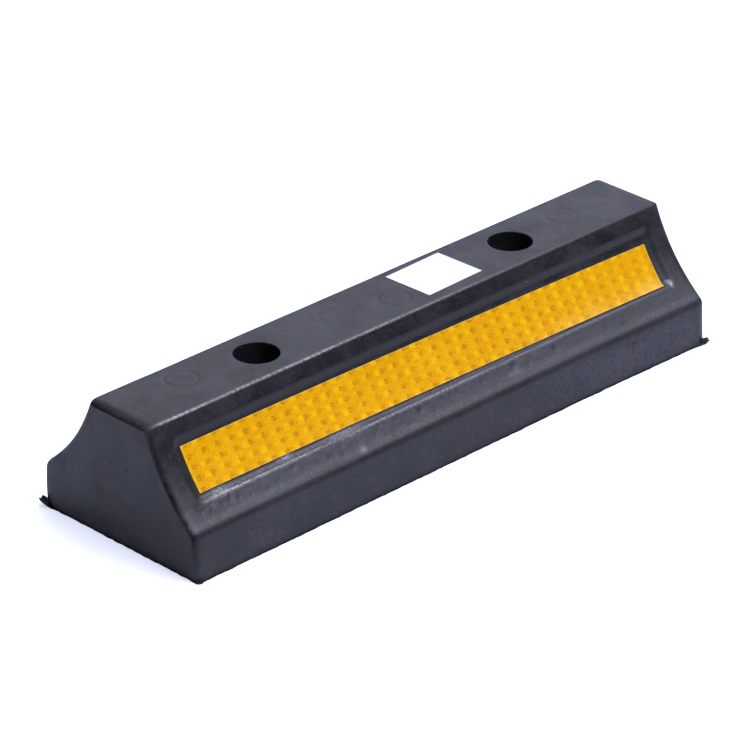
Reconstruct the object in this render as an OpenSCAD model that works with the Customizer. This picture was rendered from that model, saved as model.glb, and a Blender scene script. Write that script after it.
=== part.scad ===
// Rubber parking wheel stop for one wheel, with a reflective strip on each slope.
//
// Frame: X runs along the bar, the front slope faces -Y and +Z is up. The origin is on the ground,
// under the middle of the bar. Millimetres.

/* [Rubber body] */
// Length of the bar at its base
body_l = 503; // [460:1:560]
// Width of the bar at its base
body_w = 151; // [146:1:165]
// Height of the bar
body_h = 98.5; // [94:0.5:106]
// Width of the flat top, measured between its sharp corners
top_w = 58; // [54:1:66]
// Height of the upright skirt below the slopes
skirt_h = 34.5; // [30:0.5:38]
// Lean of the skirt, in degrees
skirt_draft = 2.2; // [0.5:0.1:4]
// Lean of the two end faces, in degrees
end_draft = 1; // [0.5:0.1:4]
// Radius of the hollow slopes
slope_r = 153.5; // [130:0.5:220]
// Rounding of the long edges of the top
top_round = 4; // [2:0.5:6]
// Rounding of the corner between slope and skirt
shoulder_round = 8; // [4:0.5:10]
// Rounding of the short edges of the top
end_round = 4; // [2:0.5:8]

/* [Moulding flash] */
// Thickness of the flash left round the base
flash_t = 0.8; // [0.4:0.1:1.5]
// How far the flash stands out along the sides
flash_side = 1.2; // [0.5:0.1:2]
// How far its two torn corners stand out
flash_tip = 5; // [3:0.5:7]

/* [Underside] */
// Thickness of the outer wall at the ground
wall_t = 13; // [10:1:16]
// Thickness of the ribs between the hollow cells
rib_t = 8; // [6:1:12]
// Width of the middle row of cells
core_w = 42; // [36:1:44]
// Rubber left above the middle row of cells
roof_t = 14; // [10:1:20]
// Rubber left between the slopes and the side rows of cells, measured to the chord of the slope
slope_wall_t = 20; // [16:1:24]

/* [Fixing holes] */
// Distance between the two fixing holes
hole_spacing = 248; // [230:1:270]
// Diameter of the wide upper part of a fixing hole
socket_d = 32; // [26:1:34]
// Diameter of the anchor bolt hole below it
bolt_d = 14; // [10:1:18]
// Height of the seat for the bolt head
seat_z = 30; // [20:1:45]
// Outer diameter of the steel washer moulded into the seat
washer_d = 40; // [36:1:44]
// Thickness of the steel washer
washer_t = 3; // [2:0.5:5]

/* [Reflective strips] */
// Depth of the panel that holds a strip
panel_depth = 2.5; // [1.5:0.1:3.5]
// Length of the panel
panel_l = 469; // [454:1:480]
// Height of the panel's upper rim above the ground
panel_top_z = 87; // [85:0.5:89]
// Height of the panel's lower rim above the ground
panel_foot_z = 47.6; // [44:0.2:49]
// Length of a strip
strip_l = 452; // [400:1:452]
// Width of a strip across the slope
strip_w = 34; // [25:1:35]
// Height of the middle of a strip above the ground
strip_z = 62.4; // [61.6:0.2:67]
// How far the front strip was laid askew, in degrees
strip_skew = 0.55; // [0:0.05:0.6]
// Thickness of the white backing film with its adhesive
backing_t = 0.25; // [0.1:0.05:0.4]
// Thickness of the amber prismatic film
lens_t = 0.45; // [0.3:0.05:0.6]

/* [Paper label] */
// Length of the label along the bar
label_l = 54; // [30:1:60]
// Width of the label
label_w = 42; // [20:1:44]
// Thickness of the paper
label_t = 0.15; // [0.1:0.05:0.3]
// Place of the label's middle along the bar
label_x = 47.7; // [0:0.1:60]
// Place of the label's middle across the bar
label_y = 0.9; // [-2:0.1:2]
// How far the label was stuck on askew, in degrees
label_skew = 1.8; // [-3:0.1:3]

/* [Hidden] */

$fn = 96;
slope_fn = 360;          // the slopes are short arcs of a large circle
beyond = 10;             // how far a cutting shape passes the face that it cuts

// Half section of the bar, as [y, z] points on its +Y side
foot = [body_w / 2, 0];
shoulder = [body_w / 2 - skirt_h * tan(skirt_draft), skirt_h];
crest = [top_w / 2, body_h];

// Centre of the circle that hollows the slope: it passes through shoulder and crest
chord = crest - shoulder;
chord_out = [chord[1], -chord[0]] / norm(chord);
slope_c = (shoulder + crest) / 2 + chord_out * sqrt(slope_r * slope_r - pow(norm(chord) / 2, 2));

// Centre of the top rounding, which touches the top and the slope's circle
crest_c_z = body_h - top_round;
crest_c = [slope_c[0] - sqrt(pow(slope_r + top_round, 2) - pow(slope_c[1] - crest_c_z, 2)), crest_c_z];

// Centre of the shoulder rounding, which touches the skirt and the slope's circle
skirt_up = [-sin(skirt_draft), cos(skirt_draft)];
skirt_in = [-cos(skirt_draft), -sin(skirt_draft)];
round_line = foot + shoulder_round * skirt_in;
from_c = round_line - slope_c;
along_up = from_c * skirt_up;
rise = -along_up - sqrt(along_up * along_up - from_c * from_c + pow(slope_r + shoulder_round, 2));
shoulder_c = round_line + rise * skirt_up;

// The slope's circle as angles below the horizontal through its centre
function slope_angle(z, r = slope_r) = asin((slope_c[1] - z) / r);
function slope_point(angle, r = slope_r) = slope_c - r * [cos(angle), sin(angle)];
function touch_slope(c, r) = slope_c + (c - slope_c) * slope_r / (slope_r + r);

panel_r = slope_r + panel_depth;
strip_angle = slope_angle(strip_z, panel_r);
end_lean = tan(end_draft);
inner_l = body_l - 2 * wall_t;
inner_w = body_w - 2 * wall_t;

// The cells lie on a grid that puts one cell, left solid in the middle row, round each fixing hole
cell_pitch = hole_spacing / 5;
cell_l = cell_pitch - rib_t;
cells_a_side = ceil(inner_l / 2 / cell_pitch);
boss_cell = 2;

// Draws a 2D outline, given as [y, z], along X for a length l, centred on the origin
module along_bar(l) {
    translate([-l / 2, 0, 0]) rotate([90, 0, 90]) linear_extrude(l) children();
}

// Repeats its children at both ends of the bar
module at_both_ends() {
    for (end = [0, 1]) mirror([end, 0, 0]) children();
}

module slope_circle(r) {
    translate(slope_c) circle(r, $fn = slope_fn);
}

// Cross-section of the bar: straight faces, hollow slopes and the roundings that touch them
module bar_section() {
    for (side = [0, 1]) mirror([side, 0]) {
        difference() {
            polygon([[0, 0], foot, foot + rise * skirt_up, touch_slope(shoulder_c, shoulder_round),
                     touch_slope(crest_c, top_round), [crest_c[0], body_h], [0, body_h]]);
            slope_circle(slope_r);
        }
        translate(shoulder_c) circle(shoulder_round);
        translate(crest_c) circle(top_round);
    }
}

// Side view of the bar: leaning end faces with rounded upper edges
module end_section() {
    corner_x = body_l / 2 - (body_h - end_round) * end_lean - end_round / cos(end_draft);
    touch = [corner_x, body_h - end_round] + end_round * [cos(end_draft), sin(end_draft)];
    for (end = [0, 1]) mirror([end, 0]) {
        polygon([[0, 0], [body_l / 2, 0], touch, [corner_x, body_h], [0, body_h]]);
        translate([corner_x, body_h - end_round]) circle(end_round);
    }
}

module bar_solid() {
    intersection() {
        along_bar(body_l) bar_section();
        translate([0, body_w / 2, 0]) rotate([90, 0, 0]) linear_extrude(body_w) end_section();
    }
}

// Thin flash round the base. It is torn longest at two opposite corners
module flash() {
    x = body_l / 2 + flash_side;
    y = body_w / 2 + flash_side;
    tip = flash_tip - flash_side;
    half = [[x, y], [-x + 3 * tip, y], [-x - tip, y + tip], [-x, y - 3 * tip]];
    linear_extrude(flash_t) polygon([each half, each [for (p = half) -p]]);
}

// Part of the round shell that lies from r_in to r_out about the slope's centre, on the +Y side
module slope_shell(l, r_in, r_out) {
    along_bar(l) difference() {
        slope_circle(r_out);
        slope_circle(r_in);
    }
}

// Sunk panel in the slope on the +Y side
module panel_cut() {
    reach = panel_r + beyond;
    intersection() {
        slope_shell(panel_l, slope_r - beyond, panel_r);
        along_bar(panel_l) polygon([slope_c, slope_point(slope_angle(panel_foot_z), reach),
                                    slope_point(slope_angle(panel_top_z), reach)]);
    }
}

// Film on the panel's floor, from depth low to depth high, cut to a rectangle that may lie askew
module strip_film(low, high, skew) {
    intersection() {
        slope_shell(strip_l + beyond, slope_r + low, slope_r + high);
        translate([0, slope_point(strip_angle, panel_r)[0], strip_z])
            rotate([strip_angle - 90, 0, 0])
            rotate(skew)
            cube([strip_l, strip_w, 2 * beyond], center = true);
    }
}

// Hollow cells in three rows. The side rows have a roof that runs along with the slope
module core_cell() {
    translate([0, -core_w / 2, -beyond]) cube([cell_l, core_w, body_h - roof_t + beyond]);
}

module side_cell() {
    near_y = core_w / 2 + rib_t;
    far_y = inner_w / 2;
    roof = crest - slope_wall_t * chord_out;
    fall = chord[1] / chord[0];
    translate([cell_l, 0, 0]) rotate([90, 0, -90]) linear_extrude(cell_l)
        polygon([[-near_y, -beyond], [-far_y, -beyond],
                 [-far_y, roof[1] + (far_y - roof[0]) * fall],
                 [-near_y, roof[1] + (near_y - roof[0]) * fall]]);
}

module cells() {
    intersection() {
        translate([-inner_l / 2, -body_w / 2, -beyond]) cube([inner_l, body_w, body_h]);
        at_both_ends() for (i = [0 : cells_a_side - 1]) translate([i * cell_pitch + rib_t / 2, 0, 0]) {
            if (i != boss_cell) core_cell();
            for (side = [0, 1]) mirror([0, side, 0]) side_cell();
        }
    }
}

// Stepped hole: bolt hole, pocket that the washer fills, and wide socket up to the top
module fixing_hole() {
    translate([hole_spacing / 2, 0, 0]) {
        translate([0, 0, -beyond]) cylinder(h = seat_z + 2 * beyond, d = bolt_d);
        translate([0, 0, seat_z - washer_t]) cylinder(h = washer_t, d = washer_d);
        translate([0, 0, seat_z]) cylinder(h = body_h, d = socket_d);
    }
}

module rubber_body() {
    color([0.17, 0.18, 0.21]) difference() {
        union() {
            bar_solid();
            flash();
        }
        cells();
        at_both_ends() fixing_hole();
        for (side = [0, 1]) mirror([0, side, 0]) panel_cut();
    }
}

module bolt_washer(x) {
    color([0.62, 0.63, 0.65]) translate([x, 0, seat_z - washer_t]) difference() {
        cylinder(h = washer_t, d = washer_d);
        translate([0, 0, -beyond]) cylinder(h = washer_t + 2 * beyond, d = bolt_d);
    }
}

module reflector_backing(skew) {
    color([0.88, 0.87, 0.82]) strip_film(panel_depth - backing_t, panel_depth, skew);
}

module reflector_lens(skew) {
    color([0.93, 0.66, 0.06])
        strip_film(panel_depth - backing_t - lens_t, panel_depth - backing_t, skew);
}

module paper_label() {
    color([0.97, 0.97, 0.96]) translate([label_x, label_y, body_h]) rotate(label_skew)
        translate([-label_l / 2, -label_w / 2, 0]) cube([label_l, label_w, label_t]);
}

rubber_body();
bolt_washer(-hole_spacing / 2);  // left_bolt_washer
bolt_washer(hole_spacing / 2);  // right_bolt_washer
mirror([0, 1, 0]) reflector_backing(strip_skew);  // front_reflector_backing
mirror([0, 1, 0]) reflector_lens(strip_skew);  // front_reflector_lens
reflector_backing(0);  // rear_reflector_backing
reflector_lens(0);  // rear_reflector_lens
paper_label();
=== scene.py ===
"""Looks of the parking wheel stop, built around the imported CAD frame.

Lengths are millimetres until a mesh is made. The bar runs along X, faces -Y and stands on z = 0.
"""

import math
import random

import bmesh
import bpy
import numpy as np
from mathutils import Matrix, Vector, noise


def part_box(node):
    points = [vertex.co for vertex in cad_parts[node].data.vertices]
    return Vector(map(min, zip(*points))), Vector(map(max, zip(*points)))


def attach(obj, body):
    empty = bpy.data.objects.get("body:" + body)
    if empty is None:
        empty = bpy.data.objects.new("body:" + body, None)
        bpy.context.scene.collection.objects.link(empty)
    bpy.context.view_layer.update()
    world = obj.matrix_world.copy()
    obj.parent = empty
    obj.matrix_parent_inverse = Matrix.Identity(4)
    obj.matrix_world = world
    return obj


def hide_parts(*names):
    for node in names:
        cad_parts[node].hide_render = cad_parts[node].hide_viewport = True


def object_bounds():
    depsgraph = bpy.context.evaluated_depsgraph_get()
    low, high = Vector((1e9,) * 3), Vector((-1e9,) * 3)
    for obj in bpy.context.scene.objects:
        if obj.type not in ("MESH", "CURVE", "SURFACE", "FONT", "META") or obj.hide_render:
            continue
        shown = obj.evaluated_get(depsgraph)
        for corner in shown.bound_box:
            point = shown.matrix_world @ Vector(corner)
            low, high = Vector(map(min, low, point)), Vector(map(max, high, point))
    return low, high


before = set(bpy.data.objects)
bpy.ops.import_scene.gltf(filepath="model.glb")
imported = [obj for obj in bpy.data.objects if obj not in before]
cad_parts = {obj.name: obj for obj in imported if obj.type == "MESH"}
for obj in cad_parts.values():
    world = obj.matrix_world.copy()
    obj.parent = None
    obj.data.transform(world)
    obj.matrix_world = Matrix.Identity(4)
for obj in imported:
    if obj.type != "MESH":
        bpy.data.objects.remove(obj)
cad_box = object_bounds()
MM = 0.001


def box_mm(node):
    low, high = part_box(node)
    return [v / MM for v in low], [v / MM for v in high]


# ---------------------------------------------------------------- driving sizes
# They are the CAD model's, but the panel and the strip follow the real piece a little more closely.
BODY_L, BODY_W = 503.0, 151.0             # over the rubber at the ground, without the flash
BODY_H = box_mm("rubber_body")[1][2]
TOP_W, SKIRT_H, SLOPE_R = 58.0, 34.5, 153.5
SKIRT_DRAFT, END_DRAFT = math.radians(2.2), math.radians(1.0)
TOP_ROUND, SHOULDER_ROUND = 4.0, 8.0
END_ROUND_X, END_ROUND_IN = 7.6, 3.8      # rounding of the end edges: along the bar, and into the section
TUCK, TUCK_H, TUCK_IN = 2.0, 26.0, 45.0   # how far the left end's foot is drawn in, and where that fades out
SPLAY, SPLAY_FROM = 1.7, 120.0            # how far two opposite corners stand out, and from which x
SPLAY_TOP, SPLAY_FADE = 70.0, 40.0        # where the splay ends, and the height over which it fades
PANEL_DEPTH, PANEL_HALF_L = 2.5, 235.0
PANEL_TOP_Z, PANEL_FOOT_Z = 87.5, 47.4
PANEL_CORNER = 9.0
WALL_TOP, WALL_FOOT, WALL_END = 8.0, 5.0, 7.0    # width of the panel's soft walls

washer_low, washer_high = box_mm("right_bolt_washer")
HOLE_X = (washer_low[0] + washer_high[0]) / 2
SEAT_Z = washer_high[2]
WASHER_R = (washer_high[0] - washer_low[0]) / 2
WASHER_T = washer_high[2] - washer_low[2]
SOCKET_R, BOLT_R, HOLE_RIM = 16.0, 7.0, 0.9
BEYOND = 5.0                              # how far a cutting shape passes the face that it cuts

CELLS_BETWEEN_HOLES, BOSS_CELL = 5, 2     # cells from hole to hole, and the one that a hole's boss fills
RIB_T, CORE_W, ROOF_T, SLOPE_WALL_T, WALL_T = 8.0, 42.0, 14.0, 20.0, 13.0
CELL_ROUND = 2.5

STRIP_L, STRIP_W, STRIP_SKEW, STRIP_BOW = 452.0, 33.3, math.radians(0.6), 0.9
STRIP_X, STRIP_MID = -1.1, 3.0            # shift of the front strip along the bar and down the slope
REAR_STRIP_MID = 0.5
BACKING_T, LENS_T, STRIP_GAP = 0.25, 0.45, 0.02
CELL_X, CELL_T = 12.70, 7.85              # lattice of the prismatic film, along and across the strip
CELL_RELIEF = 0.06
BACKING_STEPS, LENS_STEPS = (4.0, 3.0), (1.06, 0.95)    # mesh steps of the films, along and across the strip

# ---------------------------------------------------------------- unevenness of the moulding
SHRINK = 0.12                             # how far the surface lies inside the true shape
WAVES = [(55, 0.10, (0, 0, 0)), (17, 0.04, (5, 1, 3))]               # length, height and offset of each
MOULD_RINGS = [(-186, 8, 0.40), (-47, 3, 0.18), (1, -6, 0.40), (181, 4, 0.36)]    # on top: x, y, depth
RING_R, RING_GROOVE, RING_DISH = 11.5, 1.1, 4.0
WAVE_FADE_Z = 3.0                         # the waves fade out over this height above the ground
END_BULGE, END_BULGE_LENGTH = 0.35, 24.0  # height and length of the end faces' waves
END_SIDE, END_LEVEL_FROM, END_LEVEL = 0.15, 3, 12    # where these waves fade: share of the width, and heights
PIT_SQUASH, PIT_REACH, PIT_RAGGED = 1.3, 3, 1.7      # pits are wider than high, and ragged on this scale


def scatter(count, *ranges):
    """Random dents on the front, as tuples of x, z, size and depth."""
    return [tuple(random.uniform(*limits) for limits in ranges) for _ in range(count)]


random.seed(7)
PITS = scatter(9, (-238, -215), (43, 51), (0.9, 2.0), (0.2, 0.6))     # by the panel's lower left corner
PITS += scatter(44, (-238, 120), (39, 49), (1.1, 2.1), (0.2, 0.7))    # along the ledge under the panel
PITS += scatter(26, (-235, 240), (6, 30), (0.9, 2.2), (0.1, 0.35))    # on the skirt


# ---------------------------------------------------------------- cross-section of the bar, +Y side
def unit(v):
    return v / np.hypot(*v)


foot = np.array([BODY_W / 2, 0.0])
shoulder = np.array([BODY_W / 2 - SKIRT_H * math.tan(SKIRT_DRAFT), SKIRT_H])
crest = np.array([TOP_W / 2, BODY_H])
chord = crest - shoulder
chord_out = np.array([chord[1], -chord[0]]) / np.hypot(*chord)
slope_c = (shoulder + crest) / 2 + chord_out * math.sqrt(SLOPE_R ** 2 - (np.hypot(*chord) / 2) ** 2)
crest_z = BODY_H - TOP_ROUND
crest_in = math.sqrt((SLOPE_R + TOP_ROUND) ** 2 - (slope_c[1] - crest_z) ** 2)
crest_c = np.array([slope_c[0] - crest_in, crest_z])
skirt_up = np.array([-math.sin(SKIRT_DRAFT), math.cos(SKIRT_DRAFT)])
skirt_out = np.array([math.cos(SKIRT_DRAFT), math.sin(SKIRT_DRAFT)])
round_line = foot - SHOULDER_ROUND * skirt_out
from_c = round_line - slope_c
along_up = from_c @ skirt_up
rise = -along_up - math.sqrt(along_up ** 2 - from_c @ from_c + (SLOPE_R + SHOULDER_ROUND) ** 2)
shoulder_c = round_line + rise * skirt_up


def slope_angle(z, r=SLOPE_R):
    return math.asin((slope_c[1] - z) / r)


ANGLE_TOP, ANGLE_FOOT = slope_angle(PANEL_TOP_Z), slope_angle(PANEL_FOOT_Z)
ANGLE_MID = (ANGLE_TOP + ANGLE_FOOT) / 2
PANEL_HALF_W = (ANGLE_FOOT - ANGLE_TOP) / 2 * SLOPE_R
SKIRT_POINTS, SHOULDER_POINTS, SLOPE_POINTS, CREST_POINTS, TOP_POINTS = 14, 11, 64, 9, 24


def section_half():
    """The outline from the foot to the middle of the top: points [y, z], outward normals and places across.

    A place across is a distance down the slope from the panel's middle line, and nan off the slope.
    """
    points, normals, across = [], [], []

    def add(p, n, a=math.nan):
        points.append(p)
        normals.append(n)
        across.append(a)

    skirt_end = foot + rise * skirt_up
    for t in np.linspace(0, 1, SKIRT_POINTS)[:-1]:
        add(foot + t * (skirt_end - foot), skirt_out)
    a0 = math.atan2(skirt_out[1], skirt_out[0])
    to_slope = unit(slope_c - shoulder_c)
    a1 = math.atan2(to_slope[1], to_slope[0])
    for a in np.linspace(a0, a1, SHOULDER_POINTS)[:-1]:
        n = np.array([math.cos(a), math.sin(a)])
        add(shoulder_c + SHOULDER_ROUND * n, n)
    s0 = math.atan2(slope_c[1] - shoulder_c[1], slope_c[0] - shoulder_c[0])
    s1 = math.atan2(slope_c[1] - crest_c[1], slope_c[0] - crest_c[0])
    for a in np.linspace(s0, s1, SLOPE_POINTS)[:-1]:
        n = np.array([math.cos(a), math.sin(a)])
        add(slope_c - SLOPE_R * n, n, (a - ANGLE_MID) * SLOPE_R)
    for a in np.linspace(s1, math.pi / 2, CREST_POINTS)[:-1]:
        n = np.array([math.cos(a), math.sin(a)])
        add(crest_c + TOP_ROUND * n, n)
    for y in np.linspace(crest_c[0], 0, TOP_POINTS):
        add(np.array([y, BODY_H]), np.array([0.0, 1.0]))
    return np.array(points), np.array(normals), np.array(across)


def smooth(t):
    """A soft step from 0 at t = 0 to 1 at t = 1."""
    t = np.clip(t, 0, 1)
    return t * t * (3 - 2 * t)


def bell(gap, width):
    """1 where the gap is 0, falling off over the width."""
    return math.exp(-(gap / width) ** 2)


def panel_dip(x, across):
    """Depth of the sunk panel's surface at a place on the slope: a rounded rectangle with soft walls."""
    dx = PANEL_HALF_L - np.abs(x)
    dt = np.where(across < 0, PANEL_HALF_W + across, (PANEL_HALF_W - across) * WALL_TOP / WALL_FOOT)
    cx = np.maximum(PANEL_CORNER - dx * WALL_TOP / WALL_END, 0)
    ct = np.maximum(PANEL_CORNER - dt, 0)
    inside = np.where((cx > 0) & (ct > 0), PANEL_CORNER - np.hypot(cx, ct),
                      np.minimum(dx * WALL_TOP / WALL_END, dt))
    return PANEL_DEPTH * smooth(inside / WALL_TOP)


def strip_upper_edge(side, x):
    """Where the strip's upper edge lies across the slope. The front strip was laid a little askew."""
    if side > 0:
        return REAR_STRIP_MID - STRIP_W / 2
    return STRIP_MID - STRIP_W / 2 + x * math.tan(STRIP_SKEW) - STRIP_BOW * (1 - (2 * x / STRIP_L) ** 2)


def waviness(x, y, z):
    """Slight unevenness of a rubber moulding, in mm along the surface's normal."""
    p = Vector((x, y, z))
    height = -SHRINK
    for length, amount, offset in WAVES:
        height += amount * noise.noise(p / length + Vector(offset))
    if z > BODY_H - 0.5:
        for rx, ry, depth in MOULD_RINGS:
            from_middle = math.hypot(x - rx, y - ry)
            height -= depth * bell(abs(from_middle - RING_R), RING_GROOVE)
            height -= 0.5 * depth * bell(from_middle, RING_DISH)
    for px, pz, size, depth in PITS:
        gap = math.hypot(x - px, (z - pz) * PIT_SQUASH)
        if y < 0 and gap < PIT_REACH * size:
            height -= depth * bell(gap, size) * (0.6 + 0.8 * abs(noise.noise(p / PIT_RAGGED)))
    return height


def settle(x, y, z):
    """Moves a point of the ideal bar to its place on the moulding, whose foot isn't quite a rectangle."""
    near_end = min(max(1 - (x + BODY_L / 2) / TUCK_IN, 0), 1)
    shift = TUCK * max(1 - z / TUCK_H, 0) ** 2 * near_end
    if x * y < 0:
        outward = float(smooth((abs(x) - SPLAY_FROM) / (BODY_L / 2 - SPLAY_FROM)))
        y += SPLAY * outward * float(smooth((SPLAY_TOP - z) / SPLAY_FADE)) * y / (BODY_W / 2)
    return x + shift, y, z


# ---------------------------------------------------------------- mesh helpers
def new_object(name, bm_or_data):
    """An object from a bmesh in metres, or from (points in millimetres, faces)."""
    mesh = bpy.data.meshes.new(name)
    if isinstance(bm_or_data, bmesh.types.BMesh):
        bm_or_data.to_mesh(mesh)
        bm_or_data.free()
    else:
        verts, faces = bm_or_data
        mesh.from_pydata([tuple(c * MM for c in v) for v in verts], [], faces)
    mesh.validate()
    obj = bpy.data.objects.new(name, mesh)
    bpy.context.scene.collection.objects.link(obj)
    return obj


def fix_normals(obj):
    bm = bmesh.new()
    bm.from_mesh(obj.data)
    bmesh.ops.recalc_face_normals(bm, faces=bm.faces)
    bm.to_mesh(obj.data)
    bm.free()


def smooth_shading(obj, angle=35):
    obj.data.shade_smooth()
    obj.data.set_sharp_from_angle(angle=math.radians(angle))


def cut(obj, cutter):
    """Takes the cutter's solid away from obj, then removes the cutter."""
    boolean = obj.modifiers.new("cut", "BOOLEAN")
    boolean.operation = "DIFFERENCE"
    boolean.solver = "MANIFOLD"
    boolean.object = cutter
    depsgraph = bpy.context.evaluated_depsgraph_get()
    mesh = bpy.data.meshes.new_from_object(obj.evaluated_get(depsgraph))
    obj.modifiers.clear()
    old = obj.data
    obj.data = mesh
    mesh.name = obj.name
    bpy.data.meshes.remove(old)
    bpy.data.objects.remove(cutter)


def sheet(name, nx, ny, point):
    """A thin closed sheet of nx by ny cells, from point(i, j, layer), with layer 0 below and 1 on top."""
    verts = [point(i, j, layer) for layer in (0, 1) for i in range(nx + 1) for j in range(ny + 1)]
    row = ny + 1
    size = (nx + 1) * row
    faces = []
    for i in range(nx):
        for j in range(ny):
            a, b, c, d = i * row + j, (i + 1) * row + j, (i + 1) * row + j + 1, i * row + j + 1
            faces += [(size + a, size + b, size + c, size + d), (d, c, b, a)]
    border = ([i * row for i in range(nx + 1)] + [nx * row + j for j in range(1, ny + 1)]
              + [i * row + ny for i in range(nx - 1, -1, -1)] + [j for j in range(ny - 1, 0, -1)])
    for k in range(len(border)):
        a, b = border[k], border[(k + 1) % len(border)]
        faces.append((a, b, size + b, size + a))
    obj = new_object(name, (verts, faces))
    fix_normals(obj)
    smooth_shading(obj, 50)
    return obj


# ---------------------------------------------------------------- the rubber bar
half_p, half_n, half_a = section_half()
ring_p = np.vstack([half_p * [-1, 1], half_p[-2::-1]])
ring_n = np.vstack([half_n * [-1, 1], half_n[-2::-1]])
ring_a = np.concatenate([half_a, half_a[-2::-1]])

END_RINGS = 8                             # rings that round off each end
RING_STEP, FINE_STEP, FINE_FROM, FINE_TO = 1.6, 0.8, 11, 26    # rings lie closer at the panel's end walls


def stations():
    """Pairs (distance from the end plane, inset of the section) for half the bar, from end to middle."""
    out = []
    for theta in np.linspace(0, math.pi / 2, END_RINGS):
        out.append((END_ROUND_X * (1 - math.cos(theta)), END_ROUND_IN * (1 - math.sin(theta))))
    d = END_ROUND_X
    while d < BODY_L / 2 - 1:
        d += FINE_STEP if FINE_FROM < d < FINE_TO else RING_STEP
        out.append((min(d, BODY_L / 2), 0.0))
    if out[-1][0] < BODY_L / 2:
        out.append((BODY_L / 2, 0.0))
    return out


def ring_at(end, d, inset):
    """The section's outline at a distance d from that end's plane, drawn in by the inset."""
    pts = ring_p - inset * ring_n
    half = BODY_L / 2 - pts[:, 1] * math.tan(END_DRAFT)
    x = end * half * (1 - d / (BODY_L / 2))
    dip = np.where(np.isnan(ring_a), 0, panel_dip(x, np.nan_to_num(ring_a)))
    rows = []
    for i in range(len(pts)):
        w = waviness(x[i], pts[i, 0], pts[i, 1]) * min(1, pts[i, 1] / WAVE_FADE_Z)
        y = pts[i, 0] + (w - dip[i]) * ring_n[i, 0]
        z = pts[i, 1] + (w - dip[i]) * ring_n[i, 1]
        rows.append(settle(x[i], y, min(max(z, 0), BODY_H)))
    return rows


def close_end(verts, faces, end, base, n):
    """Fills the end ring of n vertices, the first of them number base, with level rows of quads."""
    sides = len(half_p) - TOP_POINTS
    columns = n - 2 * sides
    grid = []
    for r in range(sides):
        left, right = verts[base + r], verts[base + n - 1 - r]
        row = [base + r]
        for k in range(1, columns - 1 if r else 1):
            t = k / (columns - 1)
            y, z = left[1] + t * (right[1] - left[1]), left[2] + t * (right[2] - left[2])
            x = settle(end * (BODY_L / 2 - z * math.tan(END_DRAFT)), y, z)[0]
            from_sides = smooth((0.5 - abs(t - 0.5)) / END_SIDE)
            from_level = smooth((z - END_LEVEL_FROM) / END_LEVEL)
            from_level *= smooth((BODY_H - END_ROUND_IN - z) / END_LEVEL)
            bulge = END_BULGE * float(from_sides * from_level)
            row.append(len(verts))
            verts.append((x + bulge * noise.noise(Vector((x, y, z)) / END_BULGE_LENGTH), y, z))
        grid.append(row + [base + n - 1 - r])
    grid.append(list(range(base + sides, base + n - sides)))
    faces.append((grid[0][0], grid[0][-1], *grid[1][::-1]))
    for low, high in zip(grid[1:], grid[2:]):
        for k in range(columns - 1):
            faces.append((low[k], low[k + 1], high[k + 1], high[k]))


def build_bar():
    half = stations()
    rows = [ring_at(-1, d, i) for d, i in half] + [ring_at(1, d, i) for d, i in half[-2::-1]]
    n = len(ring_p)
    verts = [p for row in rows for p in row]
    faces = []
    for r in range(len(rows) - 1):
        for i in range(n):
            j = (i + 1) % n
            faces.append((r * n + i, r * n + j, (r + 1) * n + j, (r + 1) * n + i))
    for end, base in ((-1, 0), (1, (len(rows) - 1) * n)):
        close_end(verts, faces, end, base, n)
    bar = new_object("rubber_bar", (verts, faces))
    fix_normals(bar)
    return bar


def lathe(profile, x, segments=96):
    """Closed solid of revolution about the vertical axis through (x, 0), from [radius, z] points."""
    verts, faces = [], []
    n = len(profile)
    for k in range(segments):
        a = 2 * math.pi * k / segments
        verts += [(x + r * math.cos(a), r * math.sin(a), z) for r, z in profile]
    for k in range(segments):
        m = (k + 1) % segments
        for i in range(n - 1):
            faces.append((k * n + i, m * n + i, m * n + i + 1, k * n + i + 1))
    faces.append([k * n for k in range(segments)][::-1])
    faces.append([k * n + n - 1 for k in range(segments)])
    return verts, faces


def hole_cutter(x):
    """The stepped bolt hole at x, with the washer's pocket and a rounded rim."""
    arc = [(SOCKET_R + HOLE_RIM - HOLE_RIM * math.cos(a), BODY_H - HOLE_RIM + HOLE_RIM * math.sin(a))
           for a in np.linspace(0, math.radians(80), 6)]
    under_washer = SEAT_Z - WASHER_T
    bolt = [(BOLT_R, -BEYOND), (BOLT_R, under_washer)]
    pocket = [(WASHER_R, under_washer), (WASHER_R, SEAT_Z)]
    socket = [(SOCKET_R, SEAT_Z), *arc, (arc[-1][0], BODY_H + BEYOND)]
    obj = new_object("hole_cutter", lathe(bolt + pocket + socket, x))
    fix_normals(obj)
    return obj


def cell_prisms():
    """The hollow cells of the underside, as x0, x1, y0, y1 and the roof heights z0, z1 at y0 and y1."""
    pitch = HOLE_X * 2 / CELLS_BETWEEN_HOLES
    cell = pitch - RIB_T
    inner_x, inner_y = BODY_L / 2 - WALL_T, BODY_W / 2 - WALL_T
    near_y = CORE_W / 2 + RIB_T
    roof = crest - SLOPE_WALL_T * chord_out
    fall = chord[1] / chord[0]
    near_z = roof[1] + (near_y - roof[0]) * fall
    inner_z = roof[1] + (inner_y - roof[0]) * fall
    prisms = []
    for end in (-1, 1):
        for i in range(math.ceil(inner_x / pitch)):
            x0 = i * pitch + RIB_T / 2
            x1 = min(x0 + cell, inner_x)
            if i != BOSS_CELL:
                core_z = BODY_H - ROOF_T
                prisms.append((end * x0, end * x1, -CORE_W / 2, CORE_W / 2, core_z, core_z))
            for side in (-1, 1):
                prisms.append((end * x0, end * x1, side * near_y, side * inner_y, near_z, inner_z))
    return prisms


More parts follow.
